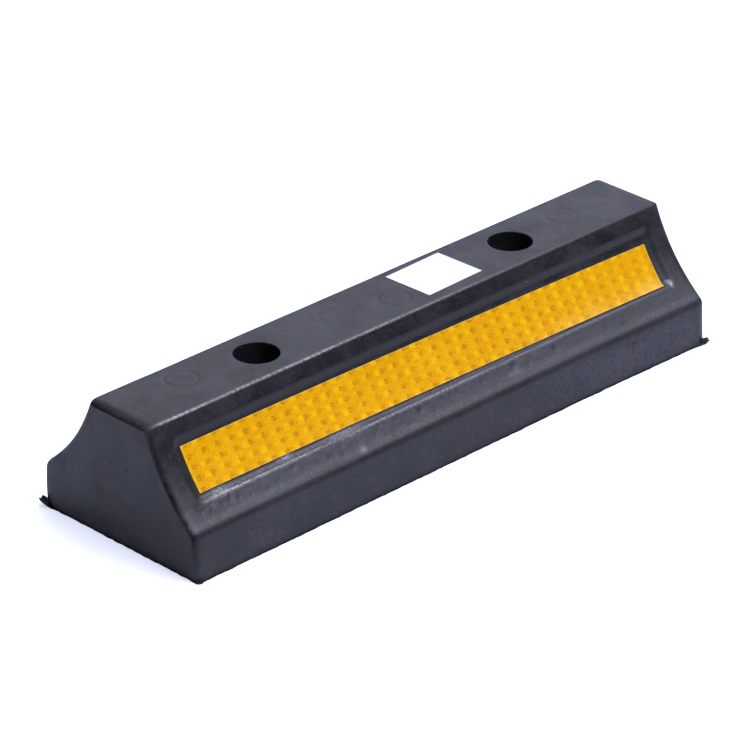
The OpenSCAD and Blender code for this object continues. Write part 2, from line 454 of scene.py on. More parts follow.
def cell_cutter():
    """All the hollow cells of the underside as one set of separate solids with softened corners."""
    bm = bmesh.new()
    for x0, x1, y0, y1, z0, z1 in cell_prisms():
        corners = [(x0, y0, z0), (x1, y0, z0), (x1, y1, z1), (x0, y1, z1)]
        low = [bm.verts.new((x * MM, y * MM, -BEYOND * MM)) for x, y, _ in corners]
        high = [bm.verts.new((x * MM, y * MM, z * MM)) for x, y, z in corners]
        bm.faces.new(low[::-1])
        bm.faces.new(high)
        for i in range(4):
            j = (i + 1) % 4
            bm.faces.new((low[i], low[j], high[j], high[i]))
    bmesh.ops.recalc_face_normals(bm, faces=bm.faces)
    inner_edges = [e for e in bm.edges if max(v.co.z for v in e.verts) > 0]
    bmesh.ops.bevel(bm, geom=inner_edges, offset=CELL_ROUND * MM, segments=3, affect="EDGES", profile=0.5)
    bmesh.ops.recalc_face_normals(bm, faces=bm.faces)
    return new_object("cell_cutter", bm)


# ---------------------------------------------------------------- painted highlights and shade, scuffs, smudges and dust, as marks on the mesh
# Dark spots on the front: x, z, width, height and strength.
SMUDGES = [(-235, 47, 4.0, 4.0, 0.8), (-226, 41, 3.0, 2.0, 0.5), (-120, 37.5, 14, 1.5, 0.35),
           (171, 41, 2.5, 1.8, 0.7), (175, 26, 2.2, 1.8, 0.8), (185, 28, 1.4, 1.2, 0.6)]
# Pale scuffs on the front: x, z, width and strength. They share one height.
SCUFFS = [(231, 49, 1.6, 1.0), (-150, 50.5, 6, 1.0), (-95, 48.5, 16, 0.75), (-212, 48.5, 9, 0.7),
          (-91, 38.5, 3, 0.5), (60, 41, 8, 0.2)]
SCUFF_H = 1.8
# The pale lines of painted highlight: where each lies, its half width and, for the fainter ones, its
# strength.
CREST_OUT, CREST_DOWN, CREST_LINE, CREST_FADE = 2.6, 1.0, 0.85, 16     # on the rounded top edge
RIDGE_UP, RIDGE_LINE, RIDGE_LEAST = 0.6, 0.75, 0.05                    # just above the panel's lower edge
LEDGE_UP, LEDGE_LINE, LEDGE_HIGHLIGHT = 3.4, 1.4, 0.3                       # on the wall above the ridge
END_IN, END_LINE, END_HIGHLIGHT = 1.8, 1.5, 0.08                            # on the top edge of each end
SHOULDER_Z, SHOULDER_OUT, SHOULDER_LINE, SHOULDER_HIGHLIGHT = 38.5, 66, 1.6, 0.08
CREST_HIGHLIGHT = 1.45                         # how strong the painted highlight on the top edge is at the left end
LINE_END, RIDGE_FADE = 3, 8               # the lines stop this far from the ends, after a fade
BACK_LEFTNESS = 0.35                      # the rear's painted highlights are alike all along
# darker at the very foot, painted shade in the crease, ragged dark smudges, and the width of the painted
# shadow round the strips
FOOT_DARKENING, FOOT_DARKENING_H = 0.55, 3.0
CREASE_SHADE, CREASE_DOWN, CREASE_LINE = 0.40, 0.3, 1.6
SMUDGE_RAGGED, STRIP_SHADOW_W = 1.5, 1.0
END_DUST, END_FOOT_DUST, END_FOOT_H = 0.20, 0.40, 24.0
LEDGE_DUST, LEDGE_LEFT_DUST, LEDGE_TOP_Z = 0.16, 0.22, 47.0
SKIRT_DUST, SKIRT_DUST_TOP, SKIRT_DUST_FADE = 0.24, 34, 5
RIGHT_DUST, RIGHT_FROM, RIGHT_FADE, RIGHT_TOP, RIGHT_TOP_FADE = 0.85, 40, 130, 33, 14


def blot(x, z, at_x, at_z, wide, tall):
    """1 at a place of the front, falling off round it."""
    return math.exp(-((x - at_x) / wide) ** 2 - ((z - at_z) / tall) ** 2)


def place_across(y, z):
    """How far down the slope a place is from the panel's middle line, or None off the slope."""
    out = math.hypot(slope_c[0] - abs(y), slope_c[1] - z)
    on_slope = abs(out - SLOPE_R) < PANEL_DEPTH + 1 and SKIRT_H < z < BODY_H - 2
    if on_slope:
        return (math.atan2(slope_c[1] - z, slope_c[0] - abs(y)) - ANGLE_MID) * SLOPE_R
    return None


def highlight_and_wear_at(x, y, z):
    """How pale a place is painted, 0 to 1: painted highlights along the top edges, the ridge under the panel
    and the shoulder, and pale scuffs on the front.
    """
    leftness = max(0, 0.5 - x / BODY_L) if y < 0 else BACK_LEFTNESS
    # painted highlight on the rounded top edge, strongest at the left end and fading to the right
    crest_gap = math.hypot(abs(y) - crest_c[0] - CREST_OUT, z - BODY_H + CREST_DOWN)
    crest_end = float(smooth((BODY_L / 2 - LINE_END - abs(x)) / CREST_FADE))
    highlight_and_wear = min(1.0, CREST_HIGHLIGHT * leftness ** 2) * bell(crest_gap, CREST_LINE) * crest_end
    across = place_across(y, z)
    if across is not None:
        # painted highlights on the ridge under the panel and on the wall above it, stronger towards the left
        on_ridge = bell(across - PANEL_HALF_W + RIDGE_UP, RIDGE_LINE)
        on_ledge = LEDGE_HIGHLIGHT * bell(across - PANEL_HALF_W + LEDGE_UP, LEDGE_LINE)
        fade = float(smooth((PANEL_HALF_L - LINE_END - abs(x)) / RIDGE_FADE))
        from_left = RIDGE_LEAST + (1 - RIDGE_LEAST) * leftness
        highlight_and_wear = max(highlight_and_wear, from_left * max(on_ridge, on_ledge) * fade)
        if y < 0:
            for at_x, at_z, wide, strength in SCUFFS:
                highlight_and_wear = max(highlight_and_wear, strength * blot(x, z, at_x, at_z, wide, SCUFF_H))
    # painted highlights along the top edge of each end and along the shoulder
    end_gap = math.hypot(abs(x) - BODY_L / 2 + z * math.tan(END_DRAFT) + END_IN, z - BODY_H + END_IN)
    on_shoulder = SHOULDER_HIGHLIGHT * bell(z - SHOULDER_Z, SHOULDER_LINE) if abs(y) > SHOULDER_OUT else 0
    return max(highlight_and_wear, END_HIGHLIGHT * bell(end_gap, END_LINE), on_shoulder)


def dirt_and_shade_at(x, y, z):
    """How dark a place is painted, 0 to 1: painted shadow round each strip, painted shade in the crease,
    darker low on the foot, and dark smudges on the front.
    """
    # darker at the very foot, next to the ground
    dirt_and_shade = FOOT_DARKENING * bell(z, FOOT_DARKENING_H)
    # painted shade in the crease over the skirt
    if abs(y) > BODY_W / 2 - 3:
        dirt_and_shade = max(dirt_and_shade, CREASE_SHADE * bell(z - SKIRT_H + CREASE_DOWN, CREASE_LINE))
    if y < -BODY_W / 4:
        for at_x, at_z, wide, tall, strength in SMUDGES:
            dark = strength * blot(x, z, at_x, at_z, wide, tall)
            dirt_and_shade = max(dirt_and_shade, dark * (0.5 + abs(noise.noise(Vector((x, y, z)) / SMUDGE_RAGGED))))
    across = place_across(y, z)
    if across is None:
        return dirt_and_shade
    # painted shadow round each strip's edges
    side = math.copysign(1, y)
    along = x - (STRIP_X if side < 0 else 0)
    down = across - strip_upper_edge(side, along)
    gap = math.hypot(max(abs(along) - STRIP_L / 2, 0), max(-down, down - STRIP_W, 0))
    return max(dirt_and_shade, bell(gap, STRIP_SHADOW_W))


def dusty_at(x, y, z):
    """How dusty a place is, 0 to 1: the end faces, mostly low down, and the front, mostly at the right."""
    on_end_face = abs(x) > BODY_L / 2 - 3 and abs(y) < BODY_W / 2 - 4
    if on_end_face:
        return END_DUST + END_FOOT_DUST * float(smooth((END_FOOT_H - z) / END_FOOT_H))
    if y > 0 or z > LEDGE_TOP_Z:
        return 0.0
    if z > SKIRT_H + 2:
        return LEDGE_DUST + LEDGE_LEFT_DUST * (0.5 - x / BODY_L)
    skirt = SKIRT_DUST * float(smooth((SKIRT_DUST_TOP - z) / SKIRT_DUST_FADE))
    right = smooth((x - RIGHT_FROM) / RIGHT_FADE) * smooth((RIGHT_TOP - z) / RIGHT_TOP_FADE)
    return skirt + RIGHT_DUST * float(right)


def mark_points(obj, name, rule):
    """Stores rule(x, y, z) of every vertex as an attribute for the material."""
    layer = obj.data.attributes.new(name, "FLOAT", "POINT")
    layer.data.foreach_set("value", [rule(*(c / MM for c in v.co)) for v in obj.data.vertices])


bar = build_bar()
for x in (-HOLE_X, HOLE_X):
    cut(bar, hole_cutter(x))
cut(bar, cell_cutter())
smooth_shading(bar, 40)
mark_points(bar, "highlight_and_wear", highlight_and_wear_at)
mark_points(bar, "dirt_and_shade", dirt_and_shade_at)
mark_points(bar, "dusty", dusty_at)
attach(bar, "root")
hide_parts("rubber_body")


# ---------------------------------------------------------------- the films of the reflective strips
def film_surface(side, x, across, lift):
    """A point on the panel's floor, lifted off it along the slope's normal, on the slope at that side."""
    dip = float(panel_dip(np.array(x), np.array(across)))
    a = ANGLE_MID + across / SLOPE_R
    n = np.array([math.cos(a), math.sin(a)])
    base = slope_c - SLOPE_R * n
    w = waviness(x, side * base[0], base[1])
    p = base + (w - dip + lift) * n
    return x, side * p[0], p[1]


def build_film(name, side, low, high, relief, step_x, step_t):
    """A film on the panel's floor, from lift low to lift high, with relief(x, t) on its face."""
    nx, nt = int(STRIP_L / step_x), int(STRIP_W / step_t)
    shift = STRIP_X if side < 0 else 0.0

    def point(i, j, layer):
        x = -STRIP_L / 2 + STRIP_L * i / nx
        t = STRIP_W * j / nt
        lift = high + relief(x, t) if layer else low
        return film_surface(side, x + shift, strip_upper_edge(side, x) + t, lift)

    obj = sheet(name, nx, nt, point)
    layer = obj.data.attributes.new("strip", "FLOAT_VECTOR", "POINT")
    places = [(i * STRIP_L / nx, j * STRIP_W / nt, 0)
              for _ in (0, 1) for i in range(nx + 1) for j in range(nt + 1)]
    layer.data.foreach_set("vector", [c for place in places for c in place])
    return obj


def lens_relief(x, t):
    """Each cell of the film is a low pillow between weld lines."""
    u = (x / CELL_X) % 1
    v = (t / CELL_T) % 1
    return CELL_RELIEF * (abs(math.sin(math.pi * u)) * abs(math.sin(math.pi * v))) ** 0.5


def flat_relief(x, t):
    return 0.0


for side, place in ((-1, "front"), (1, "rear")):
    backing = build_film(place + "_backing_film", side, STRIP_GAP, BACKING_T, flat_relief, *BACKING_STEPS)
    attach(backing, "root")
    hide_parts(place + "_reflector_backing")
    lens = build_film(place + "_lens_film", side, BACKING_T, BACKING_T + LENS_T, lens_relief, *LENS_STEPS)
    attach(lens, "root")
    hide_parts(place + "_reflector_lens")


# ---------------------------------------------------------------- the flash round the foot
FLASH_T, FLASH_IN = 0.9, 2.0              # its thickness, and how far it goes into the bar
FLASH_CORNER, FLASH_STEP = 3.0, 1.4
TIPS = [(-1, 1, 6.8), (1, -1, 5.6), (-1, -1, 1.4)]    # signs of the corner's x and y, reach of its tip
TIP_WIDTH = 5.0
CURL_LEFT, CURL_RIGHT, CURL_FROM = 1.25, 0.7, 1.5     # how steeply the tips curl up, and from which reach
TIP_THICKENING = 0.25
FIN_LEAST, FIN_LONG, FIN_SHORT = 0.15, (0.9, 9), (0.3, 2.5)    # least reach; height and length of two waves


def flash_reach(x, y):
    """How far the flash stands out of the foot at a place on the outline."""
    reach = FIN_LEAST + FIN_LONG[0] * abs(noise.noise(Vector((x, y, 0)) / FIN_LONG[1]))
    reach += FIN_SHORT[0] * noise.noise(Vector((x, y, 4)) / FIN_SHORT[1])
    for sx, sy, tip in TIPS:
        gap = math.hypot(x - sx * BODY_L / 2, y - sy * BODY_W / 2)
        ragged = 0.8 + 0.5 * noise.noise(Vector((x, y, 7)) / 1.2)
        reach += tip * math.exp(-(gap / TIP_WIDTH) ** 1.3) * ragged
    return max(FIN_LEAST, reach)


def flash_outline():
    """Places on the foot's outline with their outward normals: x, y, nx, ny, a short step apart."""
    hx, hy, r = BODY_L / 2, BODY_W / 2, FLASH_CORNER
    corners = []
    centres = [(hx - r, hy - r), (r - hx, hy - r), (r - hx, r - hy), (hx - r, r - hy)]
    for quarter, (cx, cy) in enumerate(centres):
        for a in np.linspace(0, 90, 6):
            t = math.radians(90 * quarter + a)
            corners.append((cx + r * math.cos(t), cy + r * math.sin(t), math.cos(t), math.sin(t)))
    outline = []
    for k, (x, y, nx, ny) in enumerate(corners):
        outline.append((x, y, nx, ny))
        next_x, next_y = corners[(k + 1) % len(corners)][:2]
        length = math.hypot(next_x - x, next_y - y)
        for i in range(1, int(length / FLASH_STEP)):
            t = i * FLASH_STEP / length
            outline.append((x + t * (next_x - x), y + t * (next_y - y), nx, ny))
    return outline


def flash_section(ideal_x, ideal_y, nx, ny):
    """The five corners of the flash's section at one place of the outline, inside the CAD's box."""
    reach = flash_reach(ideal_x, ideal_y)
    x, y, _ = settle(ideal_x, ideal_y, 0)
    past = max(0, reach - CURL_FROM)
    curl = (CURL_LEFT if x < 0 else CURL_RIGHT) * past
    out_x = max(min(x + reach * nx, cad_box[1][0] / MM), cad_box[0][0] / MM)
    out_y = max(min(y + reach * ny, cad_box[1][1] / MM), cad_box[0][1] / MM)
    top = FLASH_T * (0.6 + 0.5 * abs(noise.noise(Vector((x, y, 9)) / 5))) + TIP_THICKENING * past
    inner = (x - FLASH_IN * nx, y - FLASH_IN * ny)
    return [(*inner, 0.0), (out_x, out_y, curl), (out_x, out_y, curl + top * 0.8),
            (x + 0.1 * nx, y + 0.1 * ny, top + 0.5), (*inner, top + 0.5)]


def build_flash():
    """The thin ragged fin that the mould leaves around the foot, as one closed ring."""
    sections = [flash_section(*place) for place in flash_outline()]
    n, m = len(sections), len(sections[0])
    faces = []
    for k in range(n):
        k2 = (k + 1) % n
        for i in range(m):
            j = (i + 1) % m
            faces.append((k * m + i, k * m + j, k2 * m + j, k2 * m + i))
    flash = new_object("moulding_flash", ([v for section in sections for v in section], faces))
    fix_normals(flash)
    smooth_shading(flash, 35)
    return flash


flash = build_flash()
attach(flash, "root")


# ---------------------------------------------------------------- the paper label
LABEL_L, LABEL_W, LABEL_T, LABEL_TURN = 54.0, 42.0, 0.15, math.radians(1.8)
LABEL_GAP, LABEL_WAVE, LABEL_WAVE_LENGTH = 0.02, 0.05, 14
LABEL_CELLS = (36, 28)


def build_label():
    """A blank paper label, lying on the top with slight waves."""
    low, high = box_mm("paper_label")
    cx, cy, top = (low[0] + high[0]) / 2, (low[1] + high[1]) / 2, high[2]

    def point(i, j, layer):
        u = LABEL_L * (i / LABEL_CELLS[0] - 0.5)
        v = LABEL_W * (j / LABEL_CELLS[1] - 0.5)
        x = cx + u * math.cos(LABEL_TURN) - v * math.sin(LABEL_TURN)
        y = cy + u * math.sin(LABEL_TURN) + v * math.cos(LABEL_TURN)
        wave = LABEL_WAVE * abs(noise.noise(Vector((u, v, 0)) / LABEL_WAVE_LENGTH))
        return x, y, top - wave if layer else top - LABEL_T + LABEL_GAP

    return sheet("blank_label", *LABEL_CELLS, point)


label = build_label()
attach(label, "root")
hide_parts("paper_label")


# ---------------------------------------------------------------- materials
class Graph:
    """Short ways to make and link the nodes of one material."""

    def __init__(self, name):
        self.mat = bpy.data.materials.new(name)
        self.mat.use_nodes = True
        self.tree = self.mat.node_tree
        self.shader = self.tree.nodes["Principled BSDF"]

    def add(self, kind, **inputs):
        node = self.tree.nodes.new("ShaderNode" + kind)
        for name, value in inputs.items():
            socket = node.inputs[name.replace("_", " ")]
            if isinstance(value, bpy.types.NodeSocket):
                self.tree.links.new(value, socket)
            else:
                socket.default_value = value
        return node

    def coords(self, scale=(1, 1, 1)):
        source = self.add("TexCoord").outputs["Object"]
        return self.add("Mapping", Vector=source, Scale=scale).outputs[0]

    def attribute(self, name, output="Fac"):
        node = self.add("Attribute")
        node.attribute_name = name
        return node.outputs[output]

    def noise(self, vector, scale, detail=3.0, rough=0.5, distortion=0.0):
        return self.add("TexNoise", Vector=vector, Scale=scale, Detail=detail, Roughness=rough,
                        Distortion=distortion).outputs["Fac"]

    def math(self, operation, *values):
        node = self.tree.nodes.new("ShaderNodeMath")
        node.operation = operation
        for socket, value in zip(node.inputs, values):
            if isinstance(value, bpy.types.NodeSocket):
                self.tree.links.new(value, socket)
            else:
                socket.default_value = value
        return node.outputs[0]

    def times(self, first, *others):
        for other in others:
            first = self.math("MULTIPLY", first, other)
        return first

    def range(self, value, low, high, to_low=0.0, to_high=1.0):
        """Maps low..high smoothly to to_low..to_high, and holds the ends."""
        node = self.add("MapRange", Value=value)
        node.interpolation_type = "SMOOTHSTEP"
        for name, number in (("From Min", low), ("From Max", high), ("To Min", to_low), ("To Max", to_high)):
            node.inputs[name].default_value = number
        return node.outputs[0]

    def mix(self, factor, first, second, blend="MIX"):
        node = self.tree.nodes.new("ShaderNodeMix")
        node.data_type = "RGBA"
        node.blend_type = blend
        for socket, value in ((node.inputs[0], factor), (node.inputs[6], first), (node.inputs[7], second)):
            if isinstance(value, bpy.types.NodeSocket):
                self.tree.links.new(value, socket)
            else:
                socket.default_value = value if socket.type == "VALUE" else (*value, 1)
        return node.outputs[2]

    def bump(self, height, distance, normal=None, strength=1.0):
        node = self.add("Bump", Height=height, Distance=distance, Strength=strength)
        if normal:
            self.tree.links.new(normal, node.inputs["Normal"])
        return node.outputs[0]

    def finish(self, **inputs):
        for name, value in inputs.items():
            socket = self.shader.inputs[name.replace("_", " ")]
            if isinstance(value, bpy.types.NodeSocket):
                self.tree.links.new(value, socket)
            elif isinstance(value, tuple):
                socket.default_value = (*value, 1)
            else:
                socket.default_value = value
        return self.mat


def dots(g, vector, scale, share, radius):
    """Sparse small round dots, 0 to 1: one in each chosen cell of a Voronoi lattice."""
    cells = g.add("TexVoronoi", Vector=vector, Scale=scale)
    chosen = g.add("SeparateColor", Color=cells.outputs["Color"]).outputs[0]
    size = g.range(chosen, 1 - share, 1, 0, radius)
    return g.range(g.math("SUBTRACT", size, cells.outputs["Distance"]), 0, radius * 0.5)


def rubber_material():
    """Black moulded rubber: cloudy sheen, dust, pin holes with painted shade inside, pale scuffs, painted
    highlights on the edges, dark smudges, and painted shade in the crease and round the strips.
    """
    deep, black, cloudy = (0.0040, 0.0040, 0.0041), (0.0095, 0.0096, 0.0100), (0.018, 0.018, 0.019)
    flecked, bluish_dust, brownish_dust = (0.024, 0.024, 0.025), (0.034, 0.039, 0.048), (0.045, 0.041, 0.040)
    # the pale colour is for scuffs and painted highlights; the near-black ones are for painted shade in pin
    # holes, crease and round the strips, and for dark smudges
    pale_scuff_and_highlight, speck_dust, hole, dark_dirt_and_shade = (0.52, 0.51, 0.49), (0.22, 0.22, 0.23), (0.003,) * 3, (0.004,) * 3
    g = Graph("moulded_rubber")
    place = g.coords()
    cloud = g.noise(place, 34, 5, 0.62, 0.5)
    patch = g.noise(g.coords((1.0, 1.6, 1.0)), 11, 4, 0.65, 1.4)
    streak = g.noise(g.coords((14, 240, 240)), 1.0, 4, 0.6, 0.3)
    fleck = g.noise(place, 480, 3, 0.65)
    grain = g.noise(place, 1500, 2, 0.6)
    speck = g.noise(g.coords((1, 1, 1.4)), 270, 7, 0.85, 0.4)
    dirt_and_shade = g.attribute("dirt_and_shade")
    # painted highlights on the edges and pale scuffs, broken into streaks and flecks
    scuff_and_highlight = g.times(g.attribute("highlight_and_wear"), g.range(streak, 0.30, 0.62, 0.40, 1.0),
                  g.range(fleck, 0.36, 0.60, 0.30, 1.1))
    specks = dots(g, place, 95, 0.35, 0.075)
    pits = dots(g, g.coords((1, 1.1, 0.9)), 120, 0.25, 0.16)
    dusty = g.times(g.attribute("dusty"), g.range(patch, 0.35, 0.65, 0.30, 1.55),
                    g.range(cloud, 0.38, 0.62, 0.45, 1.5), g.range(speck, 0.41, 0.62, 0.05, 1.9))
    dust = g.mix(g.range(cloud, 0.40, 0.62), bluish_dust, brownish_dust)

    base = g.mix(g.range(cloud, 0.32, 0.68), deep, black)
    base = g.mix(g.range(patch, 0.48, 0.66, 0, 0.8), base, cloudy)
    base = g.mix(g.range(fleck, 0.50, 0.68, 0, 0.55), base, flecked)
    base = g.mix(dusty, base, dust)
    # pale scuffs and painted highlights
    base = g.mix(g.times(scuff_and_highlight, 0.9), base, pale_scuff_and_highlight)
    base = g.mix(g.times(specks, 0.5), base, speck_dust)
    # painted shade inside the pin holes
    base = g.mix(g.times(pits, 0.8), base, hole)
    # dark smudges, with painted shade in the crease and painted shadow round the strips, and darker low on
    # the foot
    base = g.mix(g.times(dirt_and_shade, 0.85), base, dark_dirt_and_shade)

    rough = g.range(cloud, 0.30, 0.70, 0.31, 0.46)
    rough = g.math("ADD", rough, g.range(patch, 0.46, 0.68, -0.02, 0.09))
    rough = g.math("ADD", rough, g.range(fleck, 0.35, 0.65, -0.02, 0.06))
    rough = g.math("ADD", rough, g.times(dirt_and_shade, 0.35))

    normal = g.bump(g.noise(place, 130, 4, 0.62), 0.00032)
    normal = g.bump(grain, 0.00007, normal)
    normal = g.bump(g.times(pits, -1), 0.0004, normal)
    return g.finish(Base_Color=base, Roughness=rough, Normal=normal, Specular_IOR_Level=0.42)


def torn_rubber_material():
    """The flash: dull, torn and dusty rubber."""
    black, greyer, torn = (0.004, 0.004, 0.004), (0.010, 0.010, 0.0105), (0.14, 0.135, 0.12)
    g = Graph("torn_rubber")
    fleck = g.noise(g.coords(), 520, 4, 0.7)
    tone = g.noise(g.coords(), 90, 4, 0.6)
    base = g.mix(g.range(tone, 0.3, 0.7), black, greyer)
    base = g.mix(g.range(fleck, 0.57, 0.70, 0, 0.8), base, torn)
    rough = g.range(tone, 0.3, 0.7, 0.62, 0.80)
    return g.finish(Base_Color=base, Roughness=rough, Normal=g.bump(fleck, 0.00020), Specular_IOR_Level=0.25)


MARK_U, MARK_V = 4.2, 0.6                 # the first weld mark, from the strip's left and upper edges
AMBER, AMBER_DEEP, AMBER_BRIGHT = (0.82, 0.40, 0.002), (0.76, 0.34, 0.001), (0.92, 0.51, 0.002)
AMBER_MARK, AMBER_RIM, AMBER_PALE = (0.44, 0.175, 0.002), (0.95, 0.66, 0.22), (0.98, 0.56, 0.10)


def warp(g, scale, amount):
    """Two offsets, in mm, that bend the film's lattice a little."""
    colour = g.add("TexNoise", Vector=g.coords(), Scale=scale).outputs["Color"]
    parts = g.add("SeparateColor", Color=colour)
    return [g.times(g.math("SUBTRACT", parts.outputs[i], 0.5), amount) for i in (0, 1)]


def lens_material():
    """Amber prismatic film: sealed cells, each with a small speckled weld mark and a bright field."""
    g = Graph("amber_prismatic_film")
    at = g.add("SeparateXYZ", Vector=g.attribute("strip", "Vector"))
    (wide_u, wide_v), (fine_u, fine_v) = warp(g, 140.0, 1.8), warp(g, 700.0, 2.4)
    u = g.math("ADD", g.math("ADD", at.outputs[0], wide_u), fine_u)
    v = g.math("ADD", g.math("ADD", at.outputs[1], wide_v), fine_v)

    def spot(u0, v0, half_u, half_v, power=2.0):
        """Distance from the lattice place (u0, v0), in half sizes. A higher power makes it squarer."""
        du = g.math("PINGPONG", g.math("SUBTRACT", u, u0), CELL_X / 2)
        dv = g.math("PINGPONG", g.math("SUBTRACT", v, v0), CELL_T / 2)
        total = g.math("ADD", g.math("POWER", g.math("DIVIDE", du, half_u), power),
                       g.math("POWER", g.math("DIVIDE", dv, half_v), power))
        return g.math("POWER", total, 1 / power)

    def ring(distance, radius, outer, inner):
        """1 on a ring of that radius, fading out from inner to outer."""
        return g.range(g.math("ABSOLUTE", g.math("SUBTRACT", distance, radius)), outer, inner)

    mark = spot(MARK_U, MARK_V, 1.0, 1.0, 3.0)
    mark_ring = ring(mark, 1.25, 0.75, 0.15)
    disc = g.range(mark, 2.5, 1.4)
    twin_ring = ring(spot(MARK_U + 3.3, MARK_V, 1, 1), 1.1, 0.7, 0.1)
    glow = g.range(spot(MARK_U - 4.4, MARK_V, 2.9, 2.7, 3.0), 1.50, 0.20)
    shade = g.range(spot(MARK_U + 2.6, MARK_V, 3.6, 2.5), 1.2, 0.3)
    to_right = g.range(at.outputs[0], 290, STRIP_L, 1.0, 0.45)
    cloud = g.noise(g.coords(), 60, 4, 0.6, 0.5)
    grain = g.noise(g.coords(), 950, 3, 0.75)
    vary = g.noise(g.coords(), 85, 2, 0.5)
    edge_u = g.math("MINIMUM", at.outputs[0], g.math("SUBTRACT", STRIP_L, at.outputs[0]))
    edge_v = g.math("MINIMUM", at.outputs[1], g.math("SUBTRACT", STRIP_W, at.outputs[1]))
    rim = g.range(g.math("MINIMUM", edge_u, edge_v), 0.60, 0.20)
    pale = g.times(g.range(at.outputs[0], 270, STRIP_L), g.range(at.outputs[1], 20, STRIP_W))

    base = g.mix(g.range(cloud, 0.3, 0.7), AMBER_DEEP, AMBER)
    base = g.mix(g.times(glow, g.range(vary, 0.36, 0.60, 0.25, 1.0)), base, AMBER_BRIGHT)
    base = g.mix(g.times(shade, 0.35), base, AMBER_DEEP)
    base = g.mix(g.times(disc, to_right, g.range(vary, 0.35, 0.65, 0.45, 0.10)), base, AMBER_MARK)
    base = g.mix(g.times(mark_ring, to_right, g.range(grain, 0.38, 0.58, 0.0, 0.85)), base, AMBER_MARK)
    base = g.mix(g.times(twin_ring, g.range(grain, 0.42, 0.60, 0.0, 0.60)), base, AMBER_MARK)
    base = g.mix(g.range(grain, 0.50, 0.68, 0, 0.60), base, AMBER_MARK)
    base = g.mix(g.range(grain, 0.45, 0.32, 0, 0.45), base, AMBER_BRIGHT)
    base = g.mix(g.times(rim, 0.25), base, AMBER_RIM)
    base = g.mix(g.times(pale, g.range(cloud, 0.4, 0.6, 0.15, 0.45)), base, AMBER_PALE)

    scuffs = g.noise(g.coords((60, 900, 900)), 1.0, 3, 0.6)
    rough = g.math("ADD", g.range(grain, 0.3, 0.7, 0.30, 0.45), g.range(scuffs, 0.55, 0.75, 0, 0.12))
    normal = g.bump(g.math("SUBTRACT", g.times(glow, 0.5), disc), 0.00006)
    normal = g.bump(grain, 0.00004, normal)
    return g.finish(Base_Color=base, Roughness=rough, Normal=normal, Specular_IOR_Level=0.05)


def backing_material():
    """The white film under the amber one, of which only the edge shows."""
    cream, white = (0.72, 0.66, 0.50), (0.80, 0.76, 0.62)
    g = Graph("film_backing")
    fine = g.noise(g.coords(), 700, 3, 0.6)
    base = g.mix(g.range(fine, 0.3, 0.7), cream, white)
    rough = g.range(fine, 0.3, 0.7, 0.5, 0.65)
    return g.finish(Base_Color=base, Roughness=rough, Normal=g.bump(fine, 0.00003))


def label_material():
    """White paper with fine fibres and a few grey smudges."""
    paper, white, smudged = (0.86, 0.87, 0.88), (0.93, 0.93, 0.93), (0.70, 0.70, 0.71)
    g = Graph("label_paper")
    fibre = g.noise(g.coords((1, 3, 1)), 1200, 4, 0.7)
    smudge = g.noise(g.coords(), 60, 4, 0.6, 0.8)
    base = g.mix(g.range(fibre, 0.3, 0.7), paper, white)
    base = g.mix(g.range(smudge, 0.60, 0.74, 0, 0.5), base, smudged)
    rough = g.range(fibre, 0.3, 0.7, 0.45, 0.62)
    return g.finish(Base_Color=base, Roughness=rough, Normal=g.bump(fibre, 0.00002))


def steel_material():
    """Zinc-plated steel with a turned grain, spangle and a little rust in the seat."""
    grey, bright, rusty = (0.42, 0.43, 0.44), (0.58, 0.59, 0.60), (0.16, 0.08, 0.045)
    g = Graph("zinc_plated_steel")
    spangle = g.add("TexVoronoi", Vector=g.coords(), Scale=420.0)
    tone = g.add("SeparateColor", Color=spangle.outputs["Color"]).outputs[0]
    grain = g.noise(g.coords((1, 1, 12)), 700, 3, 0.6)
    rust = g.noise(g.coords(), 130, 5, 0.65, 0.6)
    base = g.mix(tone, grey, bright)
    base = g.mix(g.range(rust, 0.58, 0.72, 0, 0.7), base, rusty)
    rough = g.math("ADD", g.range(grain, 0.3, 0.7, 0.28, 0.42), g.range(rust, 0.58, 0.72, 0, 0.35))
    metal = g.range(rust, 0.58, 0.72, 1.0, 0.25)
    return g.finish(Base_Color=base, Roughness=rough, Metallic=metal, Normal=g.bump(grain, 0.00003))


def set_material(obj, mat):
    obj.data.materials.clear()
    obj.data.materials.append(mat)


finishes = {"rubber": rubber_material(), "torn_rubber": torn_rubber_material(),
            "lens": lens_material(), "backing": backing_material(),
            "paper": label_material(), "steel": steel_material()}
set_material(bar, finishes["rubber"])
set_material(flash, finishes["torn_rubber"])
set_material(label, finishes["paper"])
for place in ("front", "rear"):
    set_material(bpy.data.objects[place + "_lens_film"], finishes["lens"])
    set_material(bpy.data.objects[place + "_backing_film"], finishes["backing"])
for node in ("left_bolt_washer", "right_bolt_washer"):
    set_material(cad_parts[node], finishes["steel"])


# ---------------------------------------------------------------- studio
VIEW_AZIMUTH, VIEW_ELEVATION, VIEW_DISTANCE = math.radians(-44.774), math.radians(27.303), 3083.0
VIEW_TARGET = Vector((4.92, 16.13, 28.77))
LENS = 210.4
FLOOR_HALF, FLOOR_DROP, CARD_HALF = 1.0, 0.0002, 0.085    # metres
TABLE_WHITE, GLOW_TINT = (0.83, 0.85, 0.93), (0.93, 0.96, 1.1)
FLOOR_GLOW = 0.58                         # over-exposure of the white table, which only the camera sees
CARD_PLACE = (-339, -164, 0.6)
TINT = (0.93, 0.965, 1.22)                # cool daylight of the studio
# Azimuth, elevation and strength of each softbox, and how sharp they all are.
SOFTBOXES = [(300, 65, 7.0), (0, 42, 1.9), (45, 42, 1.05), (315, 42, 0.6), (36, 22, 0.9), (270, 4, 0.4)]
SPREAD = 14.0
BACKDROP = 1.2                            # brightness of the plain white that the camera sees


